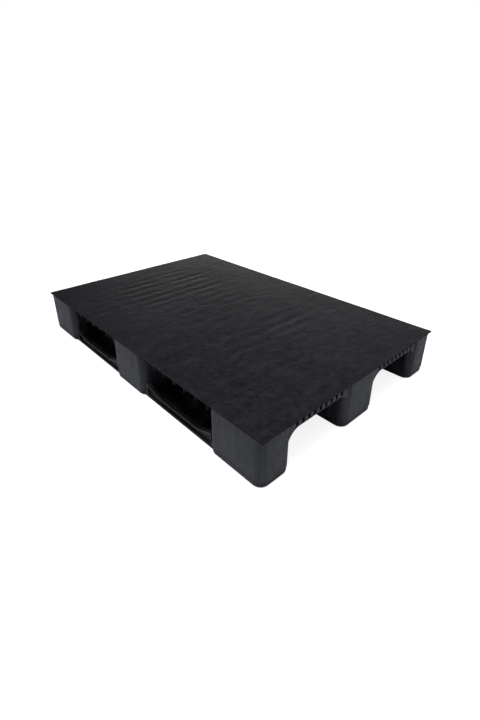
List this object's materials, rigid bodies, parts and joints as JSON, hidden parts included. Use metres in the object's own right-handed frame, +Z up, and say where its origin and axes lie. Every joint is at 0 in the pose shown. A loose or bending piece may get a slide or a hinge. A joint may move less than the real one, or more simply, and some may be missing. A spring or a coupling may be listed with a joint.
{
  "type": "plastic pallet",
  "caption": "Closed-deck plastic pallet: a thin flat top sheet over a ribbed grid, hollow legs with rounded corners and lengthwise runners, open to forks on all sides.",
  "frame": {"origin": "on the floor, under the middle of the deck", "axes": "+X along the 1200 mm length towards the front end, +Y across the 800 mm width, +Z up"},
  "size_m": [1.2, 0.8, 0.15],
  "materials": {
    "sheet": "satin black sheet with faint ripples",
    "moulded_plastic": "matte black moulded, mottled",
    "runner_plastic": "matte black moulded, scuffed",
    "screw_steel": "zinc-plated"
  },
  "bodies": {
    "root": {"deck_sheet": "sheet", "deck_grid": "moulded_plastic", "runner_left": "runner_plastic", "runner_centre": "runner_plastic", "runner_right": "runner_plastic", "leg_rear_left": "moulded_plastic", "leg_middle_left": "moulded_plastic", "leg_front_left": "moulded_plastic", "leg_rear_centre": "moulded_plastic", "leg_middle_centre": "moulded_plastic", "leg_front_centre": "moulded_plastic", "leg_rear_right": "moulded_plastic", "leg_middle_right": "moulded_plastic", "leg_front_right": "moulded_plastic", "screw_rear_left_1": "screw_steel", "screw_rear_left_2": "screw_steel", "screw_middle_left_1": "screw_steel", "screw_middle_left_2": "screw_steel", "screw_front_left_1": "screw_steel", "screw_front_left_2": "screw_steel", "screw_rear_centre_1": "screw_steel", "screw_rear_centre_2": "screw_steel", "screw_middle_centre_1": "screw_steel", "screw_middle_centre_2": "screw_steel", "screw_front_centre_1": "screw_steel", "screw_front_centre_2": "screw_steel", "screw_rear_right_1": "screw_steel", "screw_rear_right_2": "screw_steel", "screw_middle_right_1": "screw_steel", "screw_middle_right_2": "screw_steel", "screw_front_right_1": "screw_steel", "screw_front_right_2": "screw_steel"}
  },
  "joints": []
}
